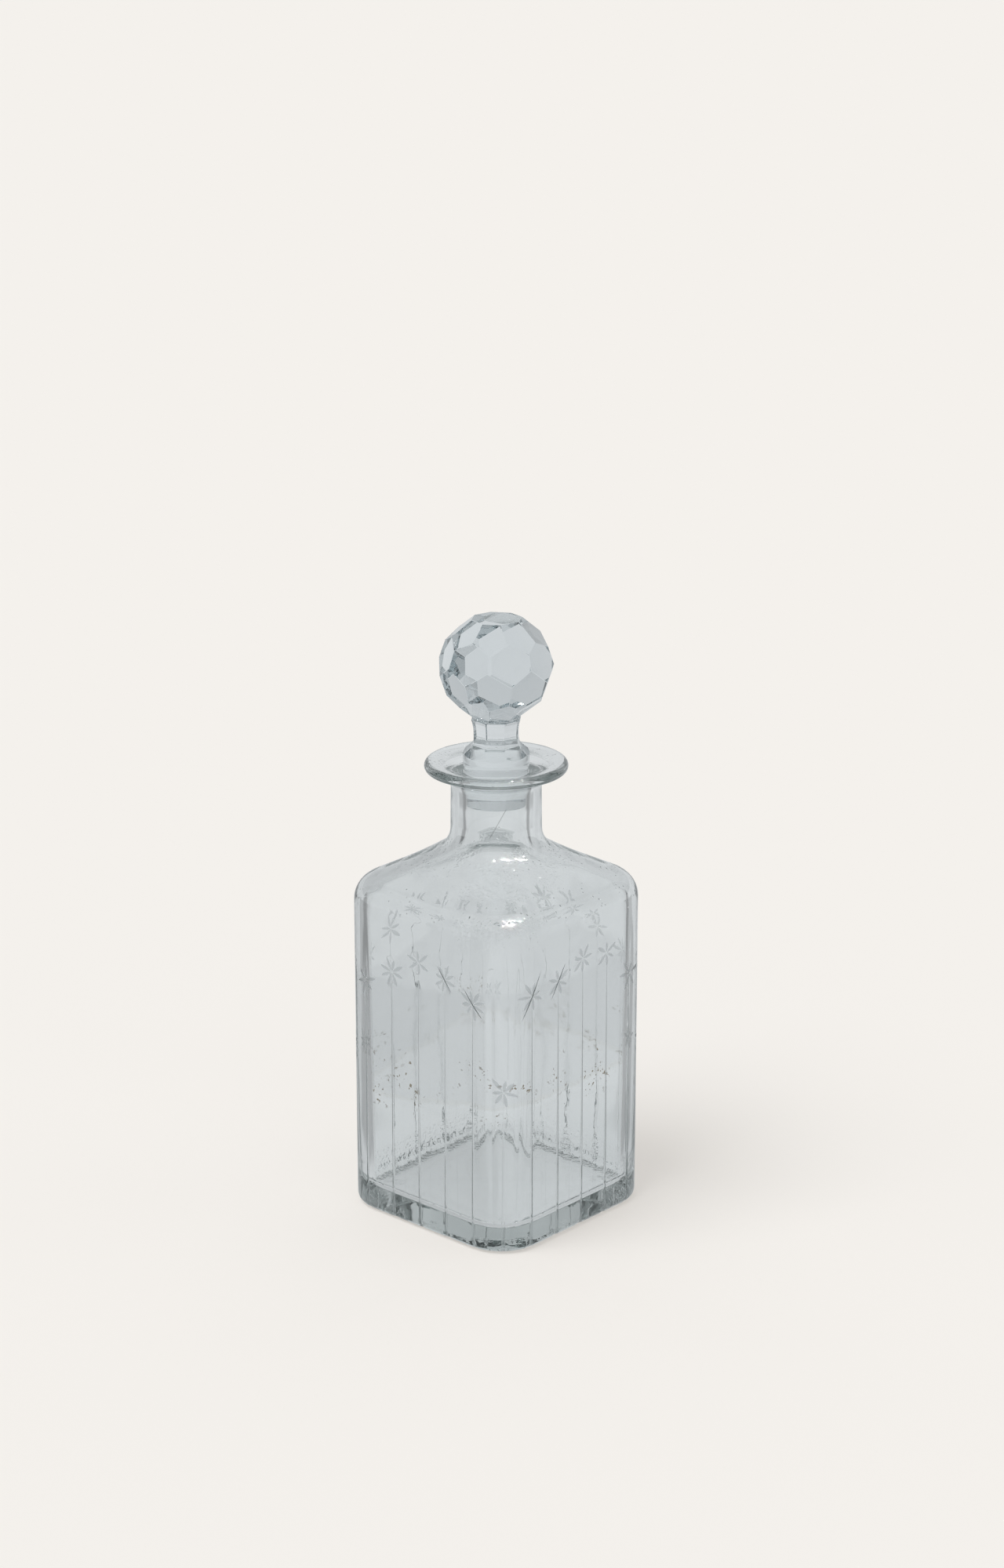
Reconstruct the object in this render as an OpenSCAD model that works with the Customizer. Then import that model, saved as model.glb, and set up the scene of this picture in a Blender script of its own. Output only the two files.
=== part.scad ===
// Square spirit decanter of thick cut glass, with a solid ball stopper ground into its neck.
// Millimetres, +Z up. The origin is the middle of the base, on the surface the bottle stands on.
// The flat faces look along +X, -X, +Y and -Y.

/* [Bottle] */
// Width across the flat faces
body_w = 92; // [86:1:100]
// Radius of the four upright corners
corner_r = 18.5; // [15:0.5:21]
// Thickness of the side walls
wall = 5.5; // [4.5:0.5:6.5]
// Thickness of the base
base_t = 8; // [7:0.5:12]
// Radius of the edge round the base
base_edge_r = 3.5; // [2:0.5:5]
// Radius where the inside walls meet the floor
floor_edge_r = 5; // [3:0.5:6]
// Height at which the side walls turn into the shoulder
wall_top = 131.5; // [120:0.5:145]
// Radius of the edge between side walls and shoulder
shoulder_edge_r = 11; // [9:0.5:12]
// Slope of the shoulder along its corner ridges, in degrees from level
shoulder_slope = 21.4; // [16:0.2:24]

/* [Neck and lip] */
// Outer radius of the neck
neck_r = 18.4; // [17.5:0.1:20]
// Height of the neck above the shoulder's foot
neck_h = 30; // [26:0.5:36]
// Radius of the hollow curve between shoulder and neck
foot_r = 10; // [8:0.5:12]
// Radius of the flared lip
lip_r = 28.8; // [27:0.2:31]
// Radius of the rounded rim of the lip
rim_r = 2.1; // [1.8:0.1:2.4]
// Depth of the dish inside the lip, from the rim's top to the mouth of the seat
dish_depth = 5.5; // [4.5:0.1:6]

/* [Stopper] */
// Radius of the ground plug at the mouth of the neck
plug_r = 12.7; // [12.2:0.1:13]
// Half angle of the ground taper, in degrees
plug_taper = 3.2; // [2:0.1:4]
// Length of the plug below the mouth
plug_l = 12; // [9:0.5:14]
// Gap all round between the plug and its seat
seat_gap = 0.1; // [0.05:0.01:0.15]
// Radius of the collar above the mouth
collar_r = 13.4; // [13.2:0.1:14]
// Height of the collar above the mouth
collar_h = 7; // [6:0.5:8]
// Half the width across the flats of the eight-sided waist
waist_flat = 8.8; // [8:0.1:9.5]
// Height of the middle of the ball above the mouth
ball_rise = 44; // [43:0.5:46]
// Distance from the middle of the ball to its facets
ball_flat = 21.2; // [20.5:0.1:21.5]
// Height of the flat table above the middle of the ball
table_rise = 19.7; // [19:0.1:20.4]
// Turn of the stopper in the neck, in degrees
stopper_turn = -6; // [-22:1:22]

/* [Cutting] */
// Distance between neighbouring stems on a face
stem_pitch = 14.6; // [13:0.2:15]
// Depth of a stem's groove at the base
stem_depth = 0.5; // [0.3:0.05:0.7]
// Length of one cut through a star
star_span = 9.6; // [7:0.2:12]
// Depth of a star's cuts at their middle
star_depth = 0.35; // [0.2:0.05:0.5]
// Number of cuts that cross in a star
star_cuts = 3; // [2:1:4]
// Height of the star on each upright corner
corner_star_z = 70; // [55:1:85]

/* [Hidden] */

// Heights of the five stars on each face, as they were cut by hand: front, right, back, left
star_z = [
    [101, 108, 115.5, 112, 105.5],
    [108.5, 110.5, 116, 114.5, 102],
    [104, 111, 116, 112, 104],
    [103, 110, 117, 111.5, 103.5],
];
groove_half_angle = 60;    // of the cutting wheel's edge
glass_tint = [0.78, 0.84, 0.83, 0.45];
eps = 0.01;

// Shoulder and neck, from the corner ridge inwards
turn_a = 90 - shoulder_slope;
half_w = body_w / 2;
inner_w = body_w - 2 * wall;
inner_corner_r = corner_r - wall;
inner_edge_r = shoulder_edge_r - wall;
neck_foot_out = neck_r + foot_r * (1 - cos(turn_a));
bore_r = plug_r - plug_l * tan(plug_taper) + seat_gap;
neck_wall = neck_r - bore_r;
inner_foot_r = foot_r + neck_wall;
neck_foot_in = bore_r + inner_foot_r * (1 - cos(turn_a));
foot_z = ridge_top(half_w, corner_r, shoulder_edge_r, neck_foot_out);
inner_foot_z = ridge_top(inner_w / 2, inner_corner_r, inner_edge_r, neck_foot_in);
foot_mid_z = foot_z + foot_r * sin(turn_a);
inner_foot_mid_z = inner_foot_z + inner_foot_r * sin(turn_a);

lip_rise = 5.3;            // from the top of the neck to the middle of the rim
rim_z = foot_z + neck_h + lip_rise;
rim_mid_r = lip_r - rim_r;
mouth_z = rim_z + rim_r - dish_depth;
flare_r = 6;               // hollow curve under the lip
flare_mid_z = rim_z - 8.4;
mouth_round = 1.4;
mouth_edge = [plug_r + mouth_round, mouth_z + 0.9];    // where the dish ends over the seat

plug_end_z = mouth_z - plug_l;
ball_z = mouth_z + ball_rise;
waist_z = mouth_z + 4;     // lower end of the waist's core, inside the collar
collar_z = mouth_z + collar_h;
flare_z = collar_z + 6.2;  // where the slanted cuts reach the waist's flats
plug_end_r = plug_r - plug_l * tan(plug_taper);
plug_chamfer = 0.8;
block = 60;                // size of the blocks that cut flats
facets = 8;                // round the ball, and round the waist
// Latitude and half-step turn of each row of facets on the ball
facet_rows = [[48, 0], [17, 0.5], [-17, 0], [-50, 0.5]];

// Height at which a corner ridge, started from a body of half width w, corner radius c and
// edge radius e, reaches distance r from the axis
function ridge_top(w, c, e, r) =
    wall_top + e * sin(turn_a)
    + ((w - c) * sqrt(2) + c - e * (1 - cos(turn_a)) - r) * tan(shoulder_slope);

// Points along an arc about [x, z]
function arc(x, z, r, from, to, n = 12) =
    [for (i = [0 : n]) let (a = from + (to - from) * i / n) [x + r * cos(a), z + r * sin(a)]];

// A block with upright corners of radius c, flat on top, with its bottom edge rounded by e
module rounded_block(w, c, e, z0, z1) {
    mid = w / 2 - c;
    profile = concat([[0, z0]], arc(c - e, z0 + e, e, -90, 0), [[c, z1], [0, z1]]);
    wide = concat([[-mid, z0]], [for (p = profile) [p[0] + mid, p[1]]], [[-mid, z1]]);
    for (x = [-mid, mid], y = [-mid, mid]) translate([x, y, 0])
        rotate_extrude($fn = 96) polygon(profile);
    for (a = [0 : 90 : 270]) rotate([0, 0, a])
        translate([0, mid, 0]) rotate([90, 0, 0])
            linear_extrude(height = 2 * mid) polygon(wide);
}

// A thin slice of a square with rounded corners
module slice(w, c, z) {
    mid = w / 2 - c;
    for (x = [-mid, mid], y = [-mid, mid]) translate([x, y, z])
        cylinder(h = eps, r = c, $fn = 64);
}

// The shoulder, from the rounded square of the walls to the round foot of the neck
module shoulder(w, c, e, foot, top_z) {
    steps = 6;
    hull() {
        for (i = [0 : steps]) {
            a = turn_a * i / steps;
            inset = e * (1 - cos(a));
            slice(w - 2 * inset, c - inset, wall_top + e * sin(a));
        }
        translate([0, 0, top_z]) cylinder(h = eps, r = foot, $fn = 64);
    }
}

// Neck, flared lip and rounded rim, solid to the axis
module neck_outside() {
    rotate_extrude($fn = 120) polygon(concat(
        [[0, foot_z - 4], [neck_foot_out, foot_z - 4]],
        arc(neck_r + foot_r, foot_mid_z, foot_r, 180 + turn_a, 180),
        arc(neck_r + flare_r, flare_mid_z, flare_r, 180, 112, 8),
        arc(rim_mid_r, rim_z, rim_r, -80, 100, 16),
        [mouth_edge + [2, 0.6], mouth_edge, [0, mouth_edge[1]]]
    ));
}

// The bore: ground seat for the plug, then down to the round top of the inside shoulder
module bore() {
    seat_r = plug_r + seat_gap;
    rotate_extrude($fn = 120) polygon(concat(
        [[0, inner_foot_z - 4], [neck_foot_in, inner_foot_z - 4]],
        arc(bore_r + inner_foot_r, inner_foot_mid_z, inner_foot_r, 180 + turn_a, 180),
        [[bore_r, plug_end_z], [seat_r, mouth_z]],
        arc(seat_r + mouth_round, mouth_z, mouth_round, 180, 100, 6),
        [[seat_r + mouth_round, mouth_z + 10], [0, mouth_z + 10]]
    ));
}

// One cut of the wheel into a face: a pointed boat along X, as deep as d at its middle
module wheel_cut(span, d) {
    l = span / 2;
    b = d * tan(groove_half_angle);
    polyhedron(
        points = [[-l, 0, 0], [l, 0, 0], [0, 0, -d], [0, 0, d], [0, -b, 0], [0, b, 0]],
        faces = [[0, 4, 2], [0, 2, 5], [0, 5, 3], [0, 3, 4],
                 [1, 2, 4], [1, 5, 2], [1, 3, 5], [1, 4, 3]]
    );
}

// A star and the stem below it, on a face whose surface is d from the axis, towards -Y
module star_and_stem(x, z, d) {
    lean = atan(stem_depth / z);
    b = 2 * sin(groove_half_angle);
    h = 2 * cos(groove_half_angle);
    translate([x, -d, z]) {
        for (k = [0 : star_cuts - 1]) rotate([90, 0, 0]) rotate([0, 0, 90 + k * 180 / star_cuts])
            wheel_cut(star_span, star_depth);
        rotate([lean, 0, 0]) translate([0, 0, -z - 2])
            linear_extrude(height = z + 2) polygon([[0, 0], [-b, -h], [b, -h]]);
    }
}

// The stars and stems of the four faces and the four upright corners
module cutting() {
    corner_d = (half_w - corner_r) * sqrt(2) + corner_r;
    for (side = [0 : 3]) rotate([0, 0, 90 * side]) {
        for (i = [0 : 4]) star_and_stem((i - 2) * stem_pitch, star_z[side][i], half_w);
        rotate([0, 0, 45]) star_and_stem(0, corner_star_z, corner_d);
    }
}

// The one-piece blown and cut bottle
module bottle() {
    color(glass_tint) difference() {
        union() {
            rounded_block(body_w, corner_r, base_edge_r, 0, wall_top);
            shoulder(body_w, corner_r, shoulder_edge_r, neck_foot_out, foot_z);
            neck_outside();
        }
        rounded_block(inner_w, inner_corner_r, floor_edge_r, base_t, wall_top);
        shoulder(inner_w, inner_corner_r, inner_edge_r, neck_foot_in, inner_foot_z);
        bore();
        cutting();
    }
}

// A block that cuts away everything further than d from the origin towards a direction
module beyond(d, az, lat) {
    rotate([0, -lat, az]) translate([d, -block / 2, -block / 2]) cube(block);
}

// The ball, cut into rows of flat facets with a flat table on top
module ball() {
    step = 360 / facets;
    difference() {
        translate([0, 0, -block / 2]) cylinder(h = block / 2 + table_rise, r = ball_flat * 1.2);
        beyond(ball_flat + 2, 0, -90);
        for (row = facet_rows, k = [0 : facets - 1])
            beyond(ball_flat, (k + row[1]) * step, row[0]);
    }
}

// Plug, collar and the round core of the flare above it
module plug_and_collar() {
    rotate_extrude($fn = 120) polygon([
        [0, plug_end_z], [plug_end_r - plug_chamfer, plug_end_z],
        [plug_end_r, plug_end_z + plug_chamfer], [plug_r, mouth_z],
        [collar_r, collar_z], [collar_r, flare_z + 1], [0, flare_z + 1]
    ]);
}

// The one-piece solid stopper: ball, eight-sided waist, collar and ground plug
module stopper() {
    step = 360 / facets;
    color(glass_tint) rotate([0, 0, 45 + stopper_turn]) {
        translate([0, 0, ball_z]) ball();
        rotate([0, 0, step / 2]) translate([0, 0, waist_z])
            cylinder(h = ball_z - ball_flat / 2 - waist_z, r = waist_flat / cos(step / 2), $fn = 8);
        difference() {
            plug_and_collar();
            for (k = [0 : facets - 1]) rotate([0, 0, step * k])
                translate([waist_flat, 0, flare_z]) beyond(0, 0, 45);
        }
    }
}

bottle();
stopper();
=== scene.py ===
import math
import random

import bmesh
import bpy
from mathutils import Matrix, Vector, noise
from mathutils.geometry import delaunay_2d_cdt


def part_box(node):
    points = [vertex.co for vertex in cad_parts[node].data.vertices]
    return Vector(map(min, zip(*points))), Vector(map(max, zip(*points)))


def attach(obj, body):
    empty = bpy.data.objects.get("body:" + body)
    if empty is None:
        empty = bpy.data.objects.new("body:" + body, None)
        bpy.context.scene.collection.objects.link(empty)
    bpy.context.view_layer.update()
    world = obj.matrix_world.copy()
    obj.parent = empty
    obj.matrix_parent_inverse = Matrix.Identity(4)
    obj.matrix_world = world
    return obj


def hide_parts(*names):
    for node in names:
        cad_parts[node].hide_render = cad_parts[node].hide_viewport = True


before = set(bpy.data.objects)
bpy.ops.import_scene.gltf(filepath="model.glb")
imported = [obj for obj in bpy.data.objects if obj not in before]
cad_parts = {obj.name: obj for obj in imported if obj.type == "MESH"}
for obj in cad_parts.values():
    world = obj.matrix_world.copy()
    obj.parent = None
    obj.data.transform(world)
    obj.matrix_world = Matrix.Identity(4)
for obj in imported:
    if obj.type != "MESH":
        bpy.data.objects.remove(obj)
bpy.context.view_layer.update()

# A square spirit decanter of old, thick, cut glass with a ball stopper. Lengths in the shape functions
# are millimetres in the frame's axes; finish_mesh() turns them into metres.

MM = 0.001


def node_box(name):
    low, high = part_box(name)
    return [v / MM for v in low], [v / MM for v in high]


bottle_low, bottle_high = node_box("bottle")
stopper_low, stopper_high = node_box("stopper")

# ------------------------------------------------------------------ driving sizes

HALF = bottle_high[0]              # half the width across the flat faces
CORNER = 18.5                      # radius of the upright corners
MID = HALF - CORNER                # from the axis to a corner's centre, along X or Y
WALL = 5.5                         # thickness of the wall under the shoulder
BASE_T = 8.0                       # thickness of the base at the floor's edge
BASE_EDGE = 3.5                    # radius of the base's outer edge
FLOOR_EDGE = 5.0                   # radius of the inside edge round the floor
WALL_TOP = 131.5                   # where the shoulder starts
SHOULDER_EDGE = 11.0               # radius of the shoulder's rounded edge
NECK = 18.4                        # outer radius of the neck
FOOT = 10.0                        # radius of the hollow curve at the neck's foot
FOOT_MID_Z = 161.1                 # where the hollow curve has turned upright into the neck
RIM = 2.1                          # radius of the lip's round edge
LIP = 28.8                         # outer radius of the lip
RIM_Z = bottle_high[2] - RIM
WALL_LOW = BASE_EDGE - BASE_EDGE * math.radians(84)    # lower end of the wall, measured along it

PLUG_END_Z = stopper_low[2]
MOUTH_Z = PLUG_END_Z + 12.0        # top of the ground seat
PLUG = 12.7                        # radius of the plug at the mouth
PLUG_END = 12.03                   # and at its lower end
SEAT_GAP = 0.1
SEAT_TOP = PLUG + SEAT_GAP         # radius of the ground seat at the mouth
BORE = PLUG_END + SEAT_GAP         # and at its lower end and below
COLLAR = 13.4                      # radius of the collar
COLLAR_Z = MOUTH_Z + 7.0           # top of the collar
WAIST = 8.8                        # from the axis to the waist's flats
BALL_FLAT = 21.2                   # from the ball's middle to its facets
TABLE_RISE = 19.7                  # of the flat table above the ball's middle
BALL_Z = stopper_high[2] - TABLE_RISE
STOPPER_TURN = math.radians(39)    # of the waist's flats, from the frame's axes

CREASES = (22, 67)                 # upright creases inside each corner, in degrees round it
CREASE_WIDTH = 4.5                 # in degrees
CREASE_DEPTH = 0.3

RAY_LENGTH = (4.4, 6.8)            # a star's strokes: length, half width and depth, from and to
RAY_HALF = (0.62, 0.9)
RAY_DEPTH = (0.07, 0.12)
LONG_RAY_HALF = 0.3
LONG_RAY_DEPTH = 0.24
STEM_PITCH = 14.6
STEM_DEPTH = 0.3
STEM_HALF = 0.85                   # half the width of a stem at the base
CORNER_STAR_Z = 70.0
# Heights of the stars on each face: front, right, back, left, cut by hand and so uneven
STAR_Z = [
    [101, 108, 115.5, 112, 105.5],
    [108.5, 110.5, 116, 114.5, 102],
    [104, 111, 116, 112, 104],
    [103, 110, 117, 111.5, 103.5],
]
# A long stroke through some stars, by face and place: its angle and half its length
LONG_RAYS = {(0, 3): (-52, 6.5), (0, 4): (-50, 7.5), (1, 0): (62, 11.0), (1, 1): (58, 8.0)}

FLAT_STEPS = 40                    # columns of the mesh across a flat face
ARC_STEPS = 26                     # and round a corner
ROW_STEP = 2.42                    # between the mesh's rows
PLUG_STEPS = 144                   # round the plug and collar
STRIP = 8                          # width of the strips that the strokes are looked up by
FLAT = 2 * MID
ARC = CORNER * math.pi / 2
QUARTER = FLAT + ARC
ROUND = 4 * QUARTER

rng = random.Random(7)


# ------------------------------------------------------------------ shape functions

def outline(u, off):
    """The point and outward normal at u round the body, off beyond the square of corner centres."""
    side, r = divmod(u % ROUND, QUARTER)
    if r < FLAT:
        p, n = (-MID + r, -(MID + off)), (0.0, -1.0)
    else:
        a = (r - FLAT) / ARC * math.pi / 2 - math.pi / 2
        n = (math.cos(a), math.sin(a))
        p = (MID + off * n[0], -MID + off * n[1])
    for _ in range(int(side)):
        p, n = (-p[1], p[0]), (-n[1], n[0])
    return Vector((p[0], p[1], 0)), Vector((n[0], n[1], 0))


def stations():
    """The values of u at the mesh's columns, starting on the back corner between its cuts."""
    us = []
    for side in range(4):
        us += [side * QUARTER + FLAT * i / FLAT_STEPS for i in range(FLAT_STEPS)]
        us += [side * QUARTER + FLAT + ARC * i / ARC_STEPS for i in range(ARC_STEPS)]
    seam = 2 * QUARTER + FLAT + ARC * 7 / ARC_STEPS
    return sorted(u if u < seam - 1e-6 else u - ROUND for u in us), seam


COLUMNS, SEAM = stations()


def ripple(p, size, stretch, seed):
    """Smooth noise from -1 to 1, drawn out along Z by stretch."""
    return noise.noise(Vector((p[0] / size + seed, p[1] / size - seed, p[2] / (size * stretch))))


def outer_wave(p):
    """How far the outer skin stands off its true shape: soft old glass, slightly uneven."""
    return 0.05 * ripple(p, 24, 1.6, 3.1) + 0.015 * ripple(p, 7, 2.5, 8.4)


def corner_crease(p):
    """Two upright creases inside each corner, which fade out below the shoulder."""
    if abs(p[0]) <= MID or abs(p[1]) <= MID:
        return 0.0
    way = math.degrees(math.atan2(abs(p[1]) - MID, abs(p[0]) - MID))
    aside = 4 if p[0] * p[1] < 0 else -4
    creases = sum(math.exp(-((way - at + aside) / CREASE_WIDTH) ** 2) for at in CREASES)
    fade = min(1.0, max(0.0, (WALL_TOP - 6 - p[2]) / 30))
    return -CREASE_DEPTH * creases * fade


def inner_wave(p):
    """The same for the inside, which was blown and never ground: long upright streaks and ripples."""
    streaks = 0.16 * ripple(p, 13, 6.0, 21.7) + 0.05 * ripple(p, 5, 7.0, 5.5)
    return streaks + corner_crease(p) + 0.12 * ripple(p, 17, 1.2, 40.2) + 0.035 * ripple(p, 4.5, 1.7, 61.3)


def inner_off(z):
    """How far the inside wall stands beyond the square of corner centres: thicker low down."""
    low = max(0.0, 1 - z / 105)
    return CORNER - WALL + 0.3 - 2.3 * low


def two_arcs(start, end, low, high, e, f, steps):
    """Points (r, z) from an upright wall at radius start, over a rounded edge of radius e, down a
    straight slope and up a hollow curve of radius f into an upright wall at radius end."""
    run, rise, k = start - end, high - low, e + f
    length = math.sqrt((run - k) ** 2 + rise ** 2 - k ** 2)
    turn = math.atan2(length * (run - k) + k * rise, length * rise - k * (run - k))
    points = []
    for i in range(steps + 1):
        a = turn * i / steps
        points.append((start - e * (1 - math.cos(a)), low + e * math.sin(a)))
    slope_end = (end + f * (1 - math.cos(turn)), high - f * math.sin(turn))
    for i in range(1, steps):
        t = i / steps
        r0, z0 = points[steps]
        points.append((r0 + (slope_end[0] - r0) * t, z0 + (slope_end[1] - z0) * t))
    for i in range(steps + 1):
        a = turn * (1 - i / steps)
        points.append((end + f * (1 - math.cos(a)), high - f * math.sin(a)))
    return points


def shoulder_rings(off, low, high, end, e, f, steps):
    """Rings from the rounded square of the walls to the round neck, each point on its own profile."""
    profiles = []
    for u in COLUMNS:
        p, _ = outline(u, off)
        profiles.append((p.normalized(), two_arcs(p.length, end, low, high, e, f, steps)))
    count = len(profiles[0][1])
    return [[d * pts[i][0] + Vector((0, 0, pts[i][1])) for d, pts in profiles] for i in range(count)]


def round_rings(profile):
    """Rings of a turned shape, on the same columns."""
    ways = [outline(u, CORNER)[0].normalized() for u in COLUMNS]
    return [[d * r + Vector((0, 0, z)) for d in ways] for r, z in profile]


def square_rings(steps):
    """Rings of a rounded square, from (off, z) pairs."""
    return [[outline(u, off)[0] + Vector((0, 0, z)) for u in COLUMNS] for off, z in steps]


def arc(r, z, radius, start, end, steps):
    """Points along an arc about (r, z), with angles in degrees."""
    angles = [math.radians(start + (end - start) * i / steps) for i in range(steps + 1)]
    return [(r + radius * math.cos(a), z + radius * math.sin(a)) for a in angles]


# ------------------------------------------------------------------ the cutting

class Cut:
    """One stroke of the cutting wheel on the unrolled wall, from a point outwards along an angle."""

    def __init__(self, u, z, angle, length, width, depth):
        self.u, self.z, self.length = u, z, length
        self.width, self.depth = width, depth
        self.along = (math.cos(angle), math.sin(angle))

    def local(self, u, z):
        du, dz = u - self.u, z - self.z
        return du * self.along[0] + dz * self.along[1], dz * self.along[0] - du * self.along[1]

    def swell(self, s):
        """How deep and wide the stroke is at s, up to about 0.9: a petal, widest near its middle."""
        t = min(max(s / self.length, 0.0), 1.0)
        return 2.2 * t ** 0.8 * (1 - t ** 2.5) * (1 - 0.25 * t)

    def deep(self, u, z):
        s, t = self.local(u, z)
        if s <= 0 or s >= self.length:
            return 0.0
        return self.depth * (self.swell(s) - abs(t) / self.width)

    def place(self, s, t):
        return (self.u + s * self.along[0] - t * self.along[1],
                self.z + s * self.along[1] + t * self.along[0])

    def lines(self):
        """The two edges and the bottom of the groove, as open lines of points."""
        steps = max(8, int(self.length * 2))
        ss = [self.length * (1 - math.cos(math.pi * i / steps)) / 2 for i in range(steps + 1)]
        for side in (-1, 0, 1):
            yield [self.place(s, side * self.width * self.swell(s)) for s in ss]


class Stem(Cut):
    """An upright groove from a star down over the edge of the base, slowly growing."""

    def __init__(self, u, top):
        super().__init__(u, top, -math.pi / 2, top + BASE_EDGE, STEM_HALF, STEM_DEPTH)

    def swell(self, s):
        return (max(s, 0) / self.length) ** 0.7

    def deep(self, u, z):
        s, t = self.local(u, z)
        if s <= 0:
            return 0.0
        fade = min(1.0, max(0.0, (z - WALL_LOW) / 1.6))
        size = self.swell(s)
        return self.depth * size * (1 - (t / (self.width * size)) ** 2) * fade

    def lines(self):
        steps = 44
        end = self.z - WALL_LOW - 0.25       # clear of the mesh's border
        ss = [end * (i / steps) ** 1.3 for i in range(steps + 1)]
        for side in (-1, -0.6, 0, 0.6, 1):
            yield [self.place(s, side * self.width * self.swell(s)) for s in ss]


def star(u, z, long_ray=None):
    """A star of short strokes round a point, none quite alike. long_ray: (angle, half length)."""
    count = rng.choice((6, 6, 7, 7, 8))
    first = rng.uniform(0, 360)
    cuts = []
    for k in range(count):
        angle = math.radians(first + 360 * (k + rng.uniform(-0.13, 0.13)) / count)
        start = rng.uniform(0.1, 0.6)
        cuts.append(Cut(u + start * math.cos(angle), z + start * math.sin(angle), angle,
                        rng.uniform(*RAY_LENGTH), rng.uniform(*RAY_HALF), rng.uniform(*RAY_DEPTH)))
    if long_ray:
        angle, half = math.radians(long_ray[0]), long_ray[1]
        cuts.append(Cut(u - half * math.cos(angle), z - half * math.sin(angle), angle,
                        2 * half, LONG_RAY_HALF, LONG_RAY_DEPTH))
    return cuts


def all_cuts():
    """Stars and stems round the whole body, by their u on the unrolled wall."""
    cuts = []
    for side in range(4):
        middle = side * QUARTER + FLAT / 2
        for i, z in enumerate(STAR_Z[side]):
            u = middle + (i - 2) * STEM_PITCH + rng.uniform(-0.5, 0.5)
            cuts += star(u, z, LONG_RAYS.get((side, i)))
            cuts.append(Stem(u + rng.uniform(-0.3, 0.3), z))
        u = side * QUARTER + FLAT + ARC / 2
        cuts += star(u, CORNER_STAR_Z)
        cuts.append(Stem(u, CORNER_STAR_Z))
    for c in cuts:
        clear, run = abs(c.u - SEAM) - 1.2, abs(c.along[0]) * c.length
        if run > clear:            # no stroke may cross the seam
            c.length *= clear / run
        if c.u > SEAM:
            c.u -= ROUND
    return cuts


def wall_point(u, v):
    """The place and normal on the outer wall at height v; below the edge's start v follows its arc."""
    if v >= BASE_EDGE:
        p, n = outline(u, CORNER)
        return p + Vector((0, 0, v)), n
    a = (BASE_EDGE - v) / BASE_EDGE
    p, n = outline(u, CORNER - BASE_EDGE * (1 - math.cos(a)))
    z = BASE_EDGE * (1 - math.sin(a))
    return p + Vector((0, 0, z)), n * math.cos(a) - Vector((0, 0, math.sin(a)))


def wall_mesh(bm, frost):
    """The cut outer wall, as a mesh of its unrolled sheet with every stroke's lines in it. Returns its
    lowest and highest ring of vertices, one for each column."""
    cuts = all_cuts()
    rows = [WALL_LOW, 0.6, 2.0, BASE_EDGE] + [6 + i * ROW_STEP for i in range(52)]
    rows = [v for v in rows if v < WALL_TOP - 0.8] + [WALL_TOP]
    strips = {}                    # the strokes that may reach into each upright strip of the wall
    for c in cuts:
        reach = c.length + 1
        for i in range(int((c.u - reach) // STRIP), int((c.u + reach) // STRIP) + 1):
            strips.setdefault(i, []).append(c)

    def near(u):
        return strips.get(int(u // STRIP), [])

    def depth(u, v):
        return max([c.deep(u, v) for c in near(u)] + [0.0])

    def mattness(u, v):
        """1 in a star, less in a stem, where the stroke was polished after cutting."""
        return max([(0.6 if isinstance(c, Stem) else 1.0) for c in near(u) if c.deep(u, v) > 0.004] + [0.0])

    def crowded(u, v):
        """Whether a stroke is so near that a point of the plain grid would make slivers."""
        d = 0.35
        return any(depth(u + a, v + b) > 0 for a in (-d, 0, d) for b in (-d, 0, d))

    points, edges, ring_at = [], [], {}
    us = COLUMNS + [COLUMNS[0] + ROUND]
    grid = {}
    for j, v in enumerate(rows):
        for i, u in enumerate(us):
            border = j in (0, len(rows) - 1) or i in (0, len(us) - 1)
            if border or not crowded(u, v):
                grid[i, j] = len(points)
                points.append(Vector((u, v)))
    for i in range(len(us) - 1):
        for j in (0, len(rows) - 1):
            edges.append((grid[i, j], grid[i + 1, j]))
    for j in range(len(rows) - 1):
        for i in (0, len(us) - 1):
            edges.append((grid[i, j], grid[i, j + 1]))
    for c in cuts:
        for line in c.lines():
            first = len(points)
            points += [Vector(p) for p in line]
            edges += [(k, k + 1) for k in range(first, len(points) - 1)]
    verts, _, faces, origin, _, _ = delaunay_2d_cdt(points, edges, [], 1, 1e-5)

    made = []
    for (u, v), sources in zip(verts, origin):
        p, n = wall_point(u, v)
        skin = outer_wave(p) * min(1.0, max(0.0, v / 8))
        made.append(bm.verts.new(p + n * (skin - depth(u, v))))
        for s in sources:
            ring_at[s] = made[-1]
    for f in faces:
        middle = sum((verts[k] for k in f), Vector((0, 0))) / len(f)
        face = bm.faces.new([made[k] for k in f])
        face[frost] = mattness(*middle)
    last = len(rows) - 1
    return ([ring_at[grid[i, 0]] for i in range(len(COLUMNS))],
            [ring_at[grid[i, last]] for i in range(len(COLUMNS))])


# ------------------------------------------------------------------ meshes

def bridge(bm, below, above):
    """Quads between two rings of vertices."""
    n = len(below)
    for i in range(n):
        k = (i + 1) % n
        bm.faces.new([below[i], below[k], above[k], above[i]])


def skin_rings(bm, start, rings, wave=None):
    """Bridges a run of rings of points on to the ring of vertices start. Returns the last ring."""
    low = start
    for ring in rings:
        high = []
        for p in ring:
            if wave:
                p = p + Vector((p.x, p.y, 0)).normalized() * wave(p)
            high.append(bm.verts.new(p))
        bridge(bm, low, high)
        low = high
    return low


def close_ring(bm, ring, z, up):
    """Closes a ring with a fan to a point on the axis at height z."""
    tip = bm.verts.new((0, 0, z))
    for i in range(len(ring)):
        trio = [ring[i], ring[(i + 1) % len(ring)], tip]
        bm.faces.new(trio if up else trio[::-1])


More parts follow.
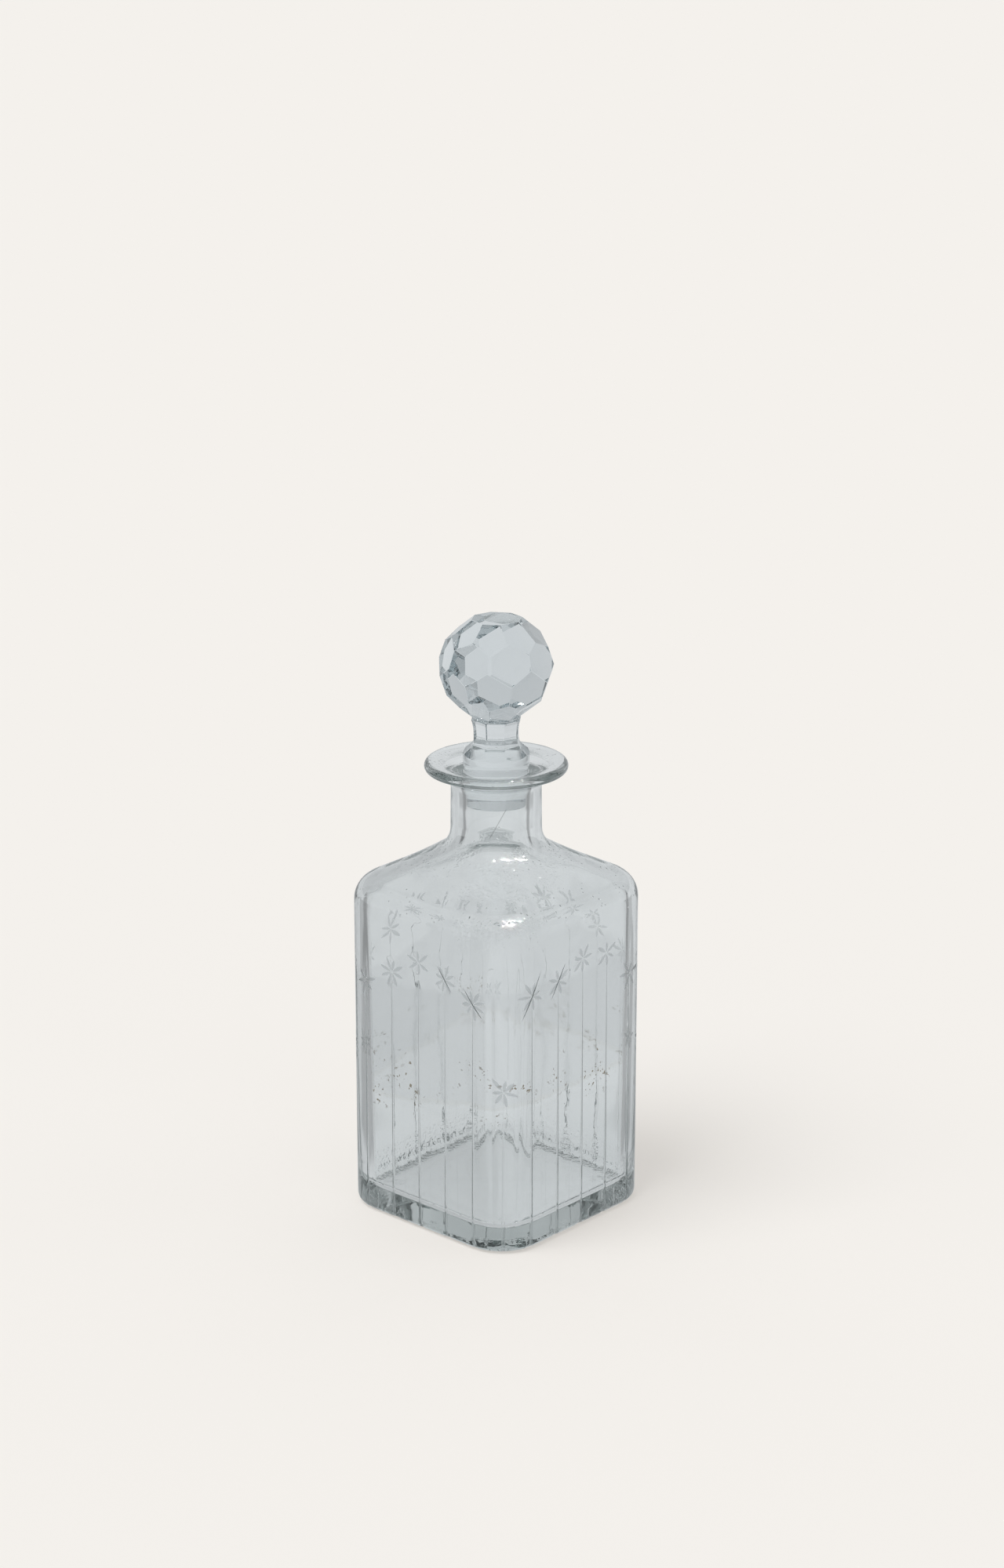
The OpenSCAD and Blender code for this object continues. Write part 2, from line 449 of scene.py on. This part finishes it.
def loose(bm, name):
    """The bmesh as an object of its own, as it is."""
    mesh = bpy.data.meshes.new(name)
    bm.to_mesh(mesh)
    bm.free()
    ob = bpy.data.objects.new(name, mesh)
    bpy.context.collection.objects.link(ob)
    return ob


def finish_mesh(bm, name, sharp):
    """The bmesh, in millimetres, as a smooth-shaded object in metres. sharp: the angle in degrees above
    which an edge stays hard."""
    bmesh.ops.remove_doubles(bm, verts=bm.verts, dist=0.002)
    bmesh.ops.recalc_face_normals(bm, faces=bm.faces)
    bmesh.ops.scale(bm, vec=(MM, MM, MM), verts=bm.verts)
    for f in bm.faces:
        f.smooth = True
    ob = loose(bm, name)
    ob.data.set_sharp_from_angle(angle=math.radians(sharp))
    return ob


def base_rings():
    """Under the base, as (off, z): a flat ring to stand on, then a shallow hollow."""
    off = CORNER - BASE_EDGE
    return [(off - 0.4, 0.0), (off - 4.0, 0.0), (off - 5.5, 0.15), (off - 8.0, 0.35), (off - 11.0, 0.5)]


def frange(start, stop, step):
    """Values from start towards stop, both included."""
    count = max(1, round((stop - start) / step))
    return [start + (stop - start) * i / count for i in range(count + 1)]


def scaled_rings(ring, scales, z, slope):
    """Smaller and smaller copies of a ring, at a height that changes by slope from edge to axis."""
    return [[p * t + Vector((0, 0, z + slope * (1 - t))) for p in ring] for t in scales]


def outside_skin(bm, ring):
    """From the wall's top over the shoulder, up the neck and over the lip into the mouth."""
    shoulder = shoulder_rings(CORNER, WALL_TOP, FOOT_MID_Z, NECK, SHOULDER_EDGE, FOOT, 9)[1:]
    neck = [(NECK - 0.012 * (z - FOOT_MID_Z), z) for z in range(163, 178, 2)]
    flare = arc(NECK + 5.8, RIM_Z - 8.4, 6.0, 180, 112, 9)
    rim = arc(LIP - RIM, RIM_Z, RIM, -80, 100, 16)
    dish = [(24.0, RIM_Z + 1.55), (21.5, RIM_Z + 0.7), (19.0, RIM_Z - 0.35), (17.0, RIM_Z - 1.3)]
    mouth = arc(SEAT_TOP + 1.4, MOUTH_Z, 1.4, 100, 180, 8)
    ring = skin_rings(bm, ring, shoulder + round_rings(neck + flare), outer_wave)
    return skin_rings(bm, ring, round_rings(rim + dish + mouth))


def inside_skin(bm, ring):
    """From the mouth down the inside: ground seat, bore, shoulder, walls and floor."""
    seat = [(SEAT_TOP + (BORE - SEAT_TOP) * t, MOUTH_Z + (PLUG_END_Z - MOUTH_Z) * t)
            for t in (0.2, 0.4, 0.6, 0.8, 1.0)]
    ring = skin_rings(bm, ring, round_rings(seat + [(BORE, PLUG_END_Z - 1.5)]))
    bore = round_rings([(BORE, PLUG_END_Z - 3 - 2 * i) for i in range(4)])
    shoulder = shoulder_rings(inner_off(WALL_TOP), WALL_TOP, FOOT_MID_Z + 1.5, BORE, SHOULDER_EDGE - WALL,
                              FOOT + NECK - BORE, 10)
    heights = frange(WALL_TOP - 2, BASE_T + FLOOR_EDGE, -2.2)
    walls = square_rings([(inner_off(z), z) for z in heights])
    ring = skin_rings(bm, ring, bore + shoulder[::-1] + walls, inner_wave)
    foot_off = inner_off(BASE_T + FLOOR_EDGE)
    edge = [(foot_off - FLOOR_EDGE * (1 - math.cos(a)), BASE_T + FLOOR_EDGE * (1 - math.sin(a)))
            for a in [math.radians(9 * i) for i in range(0, 11)]]
    floor = [(foot_off - FLOOR_EDGE - 2.0 * i, BASE_T + 0.05 * i * i) for i in range(1, 4)]
    ring = skin_rings(bm, ring, square_rings(edge + floor), inner_wave)
    floor_rim = [outline(u, foot_off - FLOOR_EDGE - 6.0)[0] for u in COLUMNS]
    scales = (0.93, 0.85, 0.75, 0.65, 0.55, 0.45, 0.35, 0.25, 0.15, 0.07)
    ring = skin_rings(bm, ring, scaled_rings(floor_rim, scales, BASE_T + 0.45, 0.5))
    close_ring(bm, ring, BASE_T + 0.95, True)


def under_skin(bm, ring):
    """From the wall's lower end to the middle of the base."""
    ring = skin_rings(bm, ring, square_rings(base_rings()))
    hollow_rim = [outline(u, CORNER - BASE_EDGE - 11.0)[0] for u in COLUMNS]
    ring = skin_rings(bm, ring, scaled_rings(hollow_rim, (0.8, 0.6, 0.4, 0.2, 0.08), 0.5, 0.3))
    close_ring(bm, ring, 0.8, False)


def mark_faces(bm, frost):
    """Marks the ground seat as slightly matt, and the floor, walls and bore as inside."""
    inside = bm.faces.layers.float.new("inside")
    for f in bm.faces:
        c = f.calc_center_median()
        out = math.hypot(c.x, c.y)
        if PLUG_END_Z - 1 < c.z < MOUTH_Z - 0.2 and out < SEAT_TOP + 0.1:
            f[frost] = 0.12
        within = max(abs(c.x), abs(c.y)) < HALF - 3.5 and out < 53.5    # short of the outer wall
        if BASE_T - 0.5 < c.z < PLUG_END_Z and within and (c.z < WALL_TOP or out < NECK - 4):
            f[inside] = 1.0


def build_bottle():
    """The whole bottle as one closed skin."""
    bm = bmesh.new()
    frost = bm.faces.layers.float.new("frost")
    low, high = wall_mesh(bm, frost)
    inside_skin(bm, outside_skin(bm, high))
    under_skin(bm, low)
    mark_faces(bm, frost)
    return finish_mesh(bm, "cut_glass_bottle", 14)


def cut_ball():
    """The ball: a block cut flat from every side, each facet a little off its place."""
    bm = bmesh.new()
    bmesh.ops.create_cube(bm, size=BALL_FLAT * 2.6)
    rows = [(48, 0), (17, 0.5), (-17, 0), (-50, 0.5)]    # latitude, and half a facet's turn or none
    askew = -6                     # the ball's rows are not quite over the waist's panels
    planes = [(90, 0, TABLE_RISE)]
    for lat, turn in rows:
        for k in range(8):
            planes.append((lat + rng.uniform(-2.0, 2.0),
                           (k + turn) * 45 + askew + rng.uniform(-2.5, 2.5),
                           BALL_FLAT + rng.uniform(-0.35, 0.15)))
    planes.append((-90, 0, BALL_FLAT + 1))
    for lat, az, d in planes:
        lat, az = math.radians(lat), math.radians(az)
        n = Vector((math.cos(lat) * math.cos(az), math.cos(lat) * math.sin(az), math.sin(lat)))
        cut = bmesh.ops.bisect_plane(bm, geom=bm.verts[:] + bm.edges[:] + bm.faces[:],
                                     plane_co=n * d, plane_no=n, clear_outer=True, dist=1e-4)
        rim = [e for e in cut["geom_cut"] if isinstance(e, bmesh.types.BMEdge)]
        if rim:
            bmesh.ops.contextual_create(bm, geom=rim)
    bmesh.ops.translate(bm, vec=(0, 0, BALL_Z), verts=bm.verts)
    return bm


def lofted(profile, ways):
    """A closed solid with the (r, z) profile, with its corners at these angles."""
    bm = bmesh.new()
    rings = [[bm.verts.new((r * math.cos(a), r * math.sin(a), z)) for a in ways] for r, z in profile]
    for low, high in zip(rings, rings[1:]):
        bridge(bm, low, high)
    bm.faces.new(rings[0][::-1])
    bm.faces.new(rings[-1])
    return bm


def waist_and_flare():
    """The eight-sided part, from inside the ball to below the plug, its panels hollow-cut."""
    clear = 19                     # wide enough to leave the plug and collar uncut
    flare_top = COLLAR_Z + 5.6
    profile = [(clear, PLUG_END_Z - 1), (clear, COLLAR_Z - 2.0)]
    profile += [(WAIST + 6.4, COLLAR_Z - 0.6), (WAIST + 3.4, COLLAR_Z + 2.4)]
    profile += [(WAIST + 1.2, COLLAR_Z + 4.4), (WAIST + 0.35, flare_top)]
    profile += [(WAIST + more, flare_top + rise) for more, rise in
                ((0, 1.5), (0, 4.5), (0.15, 7), (0.5, 9), (1.1, 11), (1.8, 13))]
    corners = [math.radians(45 * k + 22.5) for k in range(8)]
    return lofted([(flat / math.cos(math.pi / 8), z) for flat, z in profile], corners)


def turned_plug():
    """The turned ground plug and the collar, continued upwards for the flare to be cut from."""
    taper_z = PLUG_END_Z + 0.9     # where the worn lower edge turns into the taper
    profile = [(PLUG_END - 0.9, PLUG_END_Z), (PLUG_END - 0.3, PLUG_END_Z + 0.2), (PLUG_END, taper_z)]
    profile += [(PLUG_END + (PLUG - PLUG_END) * t, taper_z + (MOUTH_Z - PLUG_END_Z - 0.9) * t)
                for t in (0.25, 0.5, 0.75, 1.0)]
    profile += [(PLUG + 0.45, MOUTH_Z + 3.0), (COLLAR, COLLAR_Z - 1), (COLLAR, COLLAR_Z + 16)]
    return lofted(profile, [math.tau * k / PLUG_STEPS for k in range(PLUG_STEPS)])


def combine(a, b, how):
    """Joins b into a by an exact boolean and removes b."""
    mod = a.modifiers.new("join", "BOOLEAN")
    mod.operation, mod.solver, mod.object = how, "EXACT", b
    graph = bpy.context.evaluated_depsgraph_get()
    result = bpy.data.meshes.new_from_object(a.evaluated_get(graph))
    a.modifiers.clear()
    a.data = result
    bpy.data.objects.remove(b)
    return a


def build_stopper():
    """Plug, waist and ball joined into one solid, its edges a little worn, and turned to its place."""
    plug = loose(turned_plug(), "plug")
    plug = combine(plug, loose(waist_and_flare(), "waist"), "INTERSECT")
    plug = combine(plug, loose(cut_ball(), "ball"), "UNION")
    bm = bmesh.new()
    bm.from_mesh(plug.data)
    bpy.data.objects.remove(plug)
    bmesh.ops.remove_doubles(bm, verts=bm.verts, dist=0.01)
    bmesh.ops.dissolve_limit(bm, angle_limit=math.radians(0.3), verts=bm.verts, edges=bm.edges)
    sharp = [e for e in bm.edges if e.is_manifold and e.calc_face_angle(0) > math.radians(8)]
    bmesh.ops.bevel(bm, geom=sharp, offset=0.13, offset_type="OFFSET", segments=1, affect="EDGES",
                    profile=0.5, clamp_overlap=True)
    bmesh.ops.rotate(bm, cent=(0, 0, 0), verts=bm.verts,
                     matrix=Vector((1, 0, 0)).rotation_difference(
                         Vector((math.cos(STOPPER_TURN), math.sin(STOPPER_TURN), 0))).to_matrix())
    frost = bm.faces.layers.float.new("frost")
    for f in bm.faces:
        c = f.calc_center_median()
        f[frost] = 0.5 if c.z < MOUTH_Z else 0.0
    return finish_mesh(bm, "ball_stopper", 8)


# ------------------------------------------------------------------ materials

ACROSS = 42                        # across the front corner at +X and -Y, in degrees from +X
OUTWARDS = -48                     # and out through that corner


class Nodes:
    """A short way to write a node tree."""

    def __init__(self, owner):
        owner.use_nodes = True
        self.owner, self.tree = owner, owner.node_tree
        self.tree.nodes.clear()

    def add(self, kind, **values):
        node = self.tree.nodes.new(kind)
        for key, value in values.items():
            if hasattr(node, key):
                setattr(node, key, value)
            else:
                self.put(node.inputs[key.replace("_", " ")], value)
        return node

    def put(self, socket, value):
        if isinstance(value, bpy.types.NodeSocket):
            self.tree.links.new(value, socket)
        elif hasattr(value, "outputs"):
            self.tree.links.new(value.outputs[0], socket)
        else:
            socket.default_value = value


def mix(n, factor, low, high):
    """low to high by factor, each a colour or a socket."""
    node = n.add("ShaderNodeMix", data_type="RGBA")
    n.put(node.inputs["Factor"], factor)
    for socket, value in ((node.inputs[6], low), (node.inputs[7], high)):
        n.put(socket, (*value, 1) if isinstance(value, tuple) else value)
    return node.outputs[2]


def maths(n, kind, a, b=None):
    """A maths node on a and b, each a number or a socket."""
    node = n.add("ShaderNodeMath", operation=kind)
    for i, value in enumerate((a, b)):
        if value is not None:
            n.put(node.inputs[i], value)
    return node.outputs[0]


def ramp(n, value, start, end, low=0.0, high=1.0):
    """Smoothly from low to high as value goes from start to end."""
    node = n.add("ShaderNodeMapRange", interpolation_type="SMOOTHSTEP", Value=value)
    for key, number in (("From Min", start), ("From Max", end), ("To Min", low), ("To Max", high)):
        node.inputs[key].default_value = number
    return node.outputs[0]


def grain(n, place, size, detail=2.0, stretch=1.0):
    """Noise with features of about size millimetres, drawn out along Z by stretch."""
    squeeze = n.add("ShaderNodeMapping")
    n.put(squeeze.inputs[0], place)
    squeeze.inputs["Scale"].default_value = (1000 / size, 1000 / size, 1000 / (size * stretch))
    node = n.add("ShaderNodeTexNoise", Scale=1.0, Detail=detail)
    n.put(node.inputs["Vector"], squeeze)
    return node.outputs["Fac"]


def dents(n, place, size):
    """Small round dents about size millimetres apart, as a height from 0 to 1."""
    node = n.add("ShaderNodeTexVoronoi", Scale=1000 / size)
    n.put(node.inputs["Vector"], place)
    return ramp(n, node.outputs["Distance"], 0.0, 0.26)


def both(n, a, b):
    """The product of two masks or values."""
    return maths(n, "MULTIPLY", a, b)


def band(n, value, low, high, soft):
    """1 between low and high, with soft edges."""
    starts = ramp(n, value, low - soft, low + soft)
    return both(n, starts, ramp(n, value, high - soft, high + soft, 1, 0))


def relief(n, height, depth, under=None):
    """A bump depth millimetres high."""
    node = n.add("ShaderNodeBump", Strength=1.0, Distance=depth * MM)
    n.put(node.inputs["Height"], height)
    if under:
        n.put(node.inputs["Normal"], under)
    return node.outputs[0]


def principled(n, colour, rough, normal, tint, density):
    """Finishes a glass: its surface, and the tint that light takes up on its way through."""
    shader = n.add("ShaderNodeBsdfPrincipled", IOR=1.52, Transmission_Weight=1.0)
    n.put(shader.inputs["Base Color"], colour)
    n.put(shader.inputs["Roughness"], rough)
    n.put(shader.inputs["Normal"], normal)
    absorb = n.add("ShaderNodeVolumeAbsorption", Color=(*tint, 1), Density=density)
    out = n.add("ShaderNodeOutputMaterial")
    n.put(out.inputs["Surface"], shader)
    n.put(out.inputs["Volume"], absorb)
    return n.owner


def turned(n, split, degrees):
    """The place along an axis turned from +X towards +Y."""
    turn = math.radians(degrees)
    return maths(n, "ADD", both(n, split.outputs["X"], math.cos(turn)),
                 both(n, split.outputs["Y"], math.sin(turn)))


def crack(n, split, z, front):
    """A slanting line down the front of the neck."""
    across = both(n, turned(n, split, ACROSS), 1000)
    line = maths(n, "ADD", both(n, maths(n, "SUBTRACT", z, 168), 0.55), 0.7)
    gap = maths(n, "ABSOLUTE", maths(n, "SUBTRACT", across, line))
    thin = both(n, ramp(n, gap, 0.14, 0.28, 1, 0), band(n, z, 162, 174, 0.5))
    return both(n, thin, ramp(n, front, 0.016, 0.017))


def bottle_colour(n, place, split, z, frost, inside):
    """The glass's colour and roughness: a dull bloom inside above a tide line, blotches, dark specks,
    greyer stars, worn patches on the shoulder and a crack in the neck."""
    sway = maths(n, "SUBTRACT", grain(n, place, 30, 3.0), 0.5)
    slant = ramp(n, turned(n, split, ACROSS), -0.055, 0.0, 6, -4)
    level = maths(n, "ADD", maths(n, "ADD", z, slant), maths(n, "MULTIPLY", sway, 12))
    bloom = both(n, band(n, level, 58, 106, 1.5), inside)
    blotch = both(n, ramp(n, grain(n, place, 14, 3.0), 0.48, 0.62), inside)
    blotch = both(n, blotch, band(n, z, 103, 148, 8))
    tide = both(n, band(n, level, 56.6, 58.6, 0.8), inside)
    speck = ramp(n, grain(n, place, 1.4, 1.0), 0.63, 0.67)
    speck = both(n, speck, ramp(n, grain(n, place, 12, 1.0), 0.5, 0.6))
    speck = both(n, both(n, speck, band(n, level, 50, 76, 4)), inside)
    worn = both(n, band(n, z, 132, 152, 4), ramp(n, grain(n, place, 16, 3.0), 0.5, 0.66))
    line = crack(n, split, z, turned(n, split, OUTWARDS))

    colour = mix(n, bloom, (0.97, 0.978, 0.978), (0.85, 0.86, 0.865))
    colour = mix(n, both(n, blotch, 0.5), colour, (0.88, 0.89, 0.89))
    colour = mix(n, both(n, tide, 0.5), colour, (0.80, 0.79, 0.75))
    colour = mix(n, speck, colour, (0.12, 0.085, 0.045))
    colour = mix(n, ramp(n, frost, 0.7, 1.0), colour, (0.70, 0.72, 0.72))
    colour = mix(n, both(n, line, 0.9), colour, (0.36, 0.37, 0.36))
    colour = mix(n, both(n, worn, 0.6), colour, (0.86, 0.87, 0.87))
    rough = maths(n, "ADD", both(n, frost, 0.36), both(n, bloom, 0.10))
    return colour, maths(n, "ADD", rough, both(n, blotch, 0.06))


def bottle_skin(n, place, split, z, inside):
    """The relief too fine for the mesh: faint waves all over, small dents and pits on the worn edges, and
    a rough inner edge round the back of the floor."""
    outside = maths(n, "SUBTRACT", 1, inside)
    front = turned(n, split, OUTWARDS)
    foot = both(n, band(n, z, 145, 158, 3), ramp(n, grain(n, place, 9, 1.0), 0.42, 0.5))
    edge = both(n, band(n, z, 128, 141, 2), ramp(n, grain(n, place, 9, 1.0), 0.5, 0.58))
    lip = both(n, ramp(n, z, 181, 184), 0.5)
    dented = both(n, maths(n, "ADD", maths(n, "ADD", foot, edge), lip), outside)
    corner = both(n, band(n, z, 128, 140, 2), ramp(n, front, 0.044, 0.05))
    pitted = both(n, maths(n, "ADD", both(n, foot, ramp(n, front, 0.012, 0.02)), corner), outside)
    wide = maths(n, "MAXIMUM", *(maths(n, "ABSOLUTE", split.outputs[k]) for k in ("X", "Y")))
    heel = both(n, band(n, z, 6, 19, 2), ramp(n, wide, 0.0305, 0.033))
    heel = both(n, both(n, heel, inside), ramp(n, front, -0.004, 0.008, 1, 0))

    # Each height is 0 on average or outside its dents, so that its mask's edge leaves no step
    dent = maths(n, "SUBTRACT", dents(n, place, 1.9), 1)
    pit = maths(n, "SUBTRACT", grain(n, place, 1.7, 1.0), 0.5)
    rough = maths(n, "SUBTRACT", grain(n, place, 1.7, 2.0), 0.5)
    skin = relief(n, grain(n, place, 5, 2.0, 2.0), 0.03)
    skin = relief(n, both(n, dent, dented), 0.11, skin)
    skin = relief(n, both(n, pit, pitted), 0.35, skin)
    return relief(n, both(n, rough, heel), 0.9, skin)


def bottle_glass():
    """Old clear glass with its cut grooves left matt."""
    n = Nodes(bpy.data.materials.new("bottle glass"))
    place = n.add("ShaderNodeTexCoord").outputs["Object"]
    split = n.add("ShaderNodeSeparateXYZ")
    n.put(split.inputs[0], place)
    frost = n.add("ShaderNodeAttribute", attribute_name="frost").outputs["Fac"]
    inside = n.add("ShaderNodeAttribute", attribute_name="inside").outputs["Fac"]
    z = both(n, split.outputs["Z"], 1000)
    colour, rough = bottle_colour(n, place, split, z, frost, inside)
    skin = bottle_skin(n, place, split, z, inside)
    return principled(n, colour, rough, skin, tint=(0.5, 0.59, 0.575), density=6.0)


def stopper_glass():
    """Clear glass, dusty in patches, with the plug ground slightly matt."""
    n = Nodes(bpy.data.materials.new("stopper glass"))
    place = n.add("ShaderNodeTexCoord").outputs["Object"]
    frost = n.add("ShaderNodeAttribute", attribute_name="frost").outputs["Fac"]
    dust = ramp(n, grain(n, place, 6, 3.0), 0.5, 0.7)
    colour = mix(n, maths(n, "ADD", both(n, frost, 0.5), both(n, dust, 0.25)),
                 (0.97, 0.98, 0.985), (0.88, 0.89, 0.89))
    skin = relief(n, grain(n, place, 6, 2.0), 0.03)
    return principled(n, colour, both(n, frost, 0.12), skin, tint=(0.3, 0.45, 0.5), density=4.0)


# ------------------------------------------------------------------ the stage

PAPER = (0.913, 0.887, 0.846)      # the background as the camera sees it
SURROUND = (0.605, 0.627, 0.640)   # the greyer studio that the glass sees
INNER_DARK = (0.90, 0.95)          # how much darker to light that has been reflected, near and far
AHEAD = math.radians(132.2)        # the way the main view looks, from +X
LANES = (54, 68)                   # dark screens at the sides, in degrees from that way
LANE_TONE = 0.34
SPARKS_AWAY = 1.8                  # distance of the spark discs, in metres
BESIDE_TONE = (0.82, 0.62)         # the floor close beside the object, to straight and to reflected light
FLOOR_GLOW = (0.460, 0.434, 0.406)  # the floor's own light, as the camera sees it
FLOOR_MATT = (0.45, 0.44, 0.425)


def surround(n, way_out, far, beside):
    """The studio's tone for every ray but the camera's own, and whether a ray is the camera's. way_out: a
    socket with the direction from the axis. far: 0 close to the object, 1 far off. beside: 1 in the
    ring round the object where the floor is darker at its sides."""
    path = n.add("ShaderNodeLightPath")
    split = n.add("ShaderNodeSeparateXYZ")
    n.put(split.inputs[0], way_out)
    way = maths(n, "ARCTAN2", split.outputs[1], split.outputs[0])
    # The angle from the main view's axis, folded so that the view from behind has the same screens
    sine = maths(n, "SINE", maths(n, "SUBTRACT", way, AHEAD))
    off = maths(n, "ARCSINE", maths(n, "ABSOLUTE", sine))
    low, high = (math.radians(v) for v in LANES)
    lane = both(n, band(n, off, low, high, math.radians(5)), far)
    close = both(n, ramp(n, off, math.radians(27), math.radians(37)), beside)

    shade = both(n, ramp(n, lane, 0, 1, 1, LANE_TONE), ramp(n, close, 0, 1, 1, BESIDE_TONE[0]))
    shade = both(n, shade, ramp(n, sine, -0.35, 0.35, 1.03, 0.91))
    patchy = n.add("ShaderNodeTexNoise", Scale=2.2, Detail=1.0)
    n.put(patchy.inputs["Vector"], way_out)
    uneven = ramp(n, patchy.outputs["Fac"], 0.3, 0.7, 0.96, 1.04)
    loss = both(n, ramp(n, far, 0, 1, *INNER_DARK), ramp(n, close, 0, 1, 1, BESIDE_TONE[1]))
    bounces = maths(n, "MINIMUM", path.outputs["Glossy Depth"], 3)
    tone = n.add("ShaderNodeVectorMath", operation="SCALE")
    tone.inputs[0].default_value = SURROUND
    n.put(tone.inputs["Scale"], both(n, both(n, shade, uneven), maths(n, "POWER", loss, bounces)))
    return tone.outputs[0], path.outputs["Is Camera Ray"]


def stage_floor():
    """A large pale floor that glows a little, so that it meets the background without an edge. To the glass
    it glows with the grey studio's tone, a painted light that is a little brighter close to the object.
    """
    bpy.ops.mesh.primitive_plane_add(size=60, location=(0, 0, -0.0002))
    floor = bpy.context.object
    floor.name = "floor"
    n = Nodes(bpy.data.materials.new("pale floor"))
    place = n.add("ShaderNodeNewGeometry").outputs["Position"]
    length = n.add("ShaderNodeVectorMath", operation="LENGTH")
    n.put(length.inputs[0], place)
    reach = length.outputs["Value"]
    beside = both(n, ramp(n, reach, 0.075, 0.1), ramp(n, reach, 0.3, 0.6, 1, 0))
    tone, is_camera = surround(n, place, ramp(n, reach, 0.12, 0.4), beside)
    glow = n.add("ShaderNodeEmission", Color=mix(n, is_camera, tone, FLOOR_GLOW))
    # Painted light: to every ray but the camera's the floor glows, brighter close to the object, in place
    # of light coming through the glass
    painted_floor_glow = ramp(n, reach, 0.1, 0.5, 0.92, 0.84)
    n.put(glow.inputs["Strength"], maths(n, "MAXIMUM", is_camera, painted_floor_glow))
    matt = n.add("ShaderNodeBsdfDiffuse", Color=mix(n, is_camera, (0.2, 0.2, 0.2), FLOOR_MATT))
    shader = n.add("ShaderNodeAddShader")
    n.put(shader.inputs[0], glow)
    n.put(shader.inputs[1], matt)
    n.put(n.add("ShaderNodeOutputMaterial").inputs["Surface"], shader)
    floor.data.materials.append(n.owner)


def sky():
    """Plain paper to the camera, the grey studio to the glass."""
    world = bpy.data.worlds.new("studio")
    bpy.context.scene.world = world
    n = Nodes(world)
    tone, is_camera = surround(n, n.add("ShaderNodeTexCoord").outputs["Generated"], 1.0, 0.0)
    back = n.add("ShaderNodeBackground", Color=mix(n, is_camera, tone, PAPER), Strength=1.0)
    n.put(n.add("ShaderNodeOutputWorld").inputs["Surface"], back)


def sun(aim, strength, angle):
    """A wide soft light along aim, its angle in degrees. The glass doesn't see it: it makes the shadow."""
    data = bpy.data.lights.new("soft key", "SUN")
    data.energy, data.angle = strength, math.radians(angle)
    ob = bpy.data.objects.new("soft key", data)
    ob.rotation_euler = Vector(aim).to_track_quat("-Z", "Y").to_euler()
    ob.visible_glossy = ob.visible_transmission = False
    bpy.context.collection.objects.link(ob)


def sparks(azimuth, elevation, spread, count, size, strength):
    """Small bright discs high up, for the points of light in the worn glass. azimuth: from -Y towards +X.
    spread: how far they lie from the middle, up or aside. Angles in degrees."""
    bm = bmesh.new()
    for _ in range(count):
        az = math.radians(azimuth + rng.uniform(-1, 1) * spread / math.cos(math.radians(elevation)))
        el = math.radians(elevation + rng.uniform(-1, 1) * spread)
        way = Vector((math.sin(az) * math.cos(el), -math.cos(az) * math.cos(el), math.sin(el)))
        turn = way.to_track_quat("Z", "Y").to_matrix().to_4x4()
        turn.translation = way * SPARKS_AWAY
        bmesh.ops.create_circle(bm, cap_ends=True, segments=12, radius=size / 2 * rng.uniform(0.6, 1.3),
                                matrix=turn)
    discs = loose(bm, "spark discs")
    n = Nodes(bpy.data.materials.new("spark"))
    glow = n.add("ShaderNodeEmission", Strength=strength)
    n.put(n.add("ShaderNodeOutputMaterial").inputs["Surface"], glow)
    n.owner.cycles.emission_sampling = "NONE"
    discs.visible_diffuse = discs.visible_shadow = False
    discs.data.materials.append(n.owner)


def place_camera():
    """The main view, in metres: the camera's direction is azimuth from -Y towards +X, and elevation."""
    azimuth, elevation, distance = math.radians(42.19), math.radians(17.55), 1.3368
    aim_height, aside = 0.179, 0.0023
    right = Vector((math.cos(azimuth), math.sin(azimuth), 0))
    back = Vector((math.sin(azimuth) * math.cos(elevation), -math.cos(azimuth) * math.cos(elevation),
                   math.sin(elevation)))
    data = bpy.data.cameras.new("camera")
    data.lens, data.sensor_width = 76.8, 36
    data.clip_start, data.clip_end = 0.05, 100
    cam = bpy.data.objects.new("camera", data)
    cam.location = Vector((0, 0, aim_height)) + right * aside + back * distance
    cam.rotation_euler = back.to_track_quat("Z", "Y").to_euler()
    bpy.context.collection.objects.link(cam)
    bpy.context.scene.camera = cam


# ------------------------------------------------------------------ build

bottle = build_bottle()
stopper = build_stopper()
for piece, body, slot in ((bottle, "bottle", "bottle_glass"), (stopper, "stopper", "stopper_glass")):
    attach(piece, body)
    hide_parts(body)
bottle.data.materials.append(bottle_glass())
stopper.data.materials.append(stopper_glass())

stage_floor()
sky()
sun(aim=(0.12, 0.57, -1.0), strength=1.68, angle=38)
sparks(azimuth=97, elevation=71, spread=16, count=16, size=0.05, strength=1300.0)
place_camera()

scene = bpy.context.scene
scene.view_settings.view_transform = "Standard"
scene.cycles.max_bounces = 28
scene.cycles.transmission_bounces = 28
scene.cycles.glossy_bounces = 20
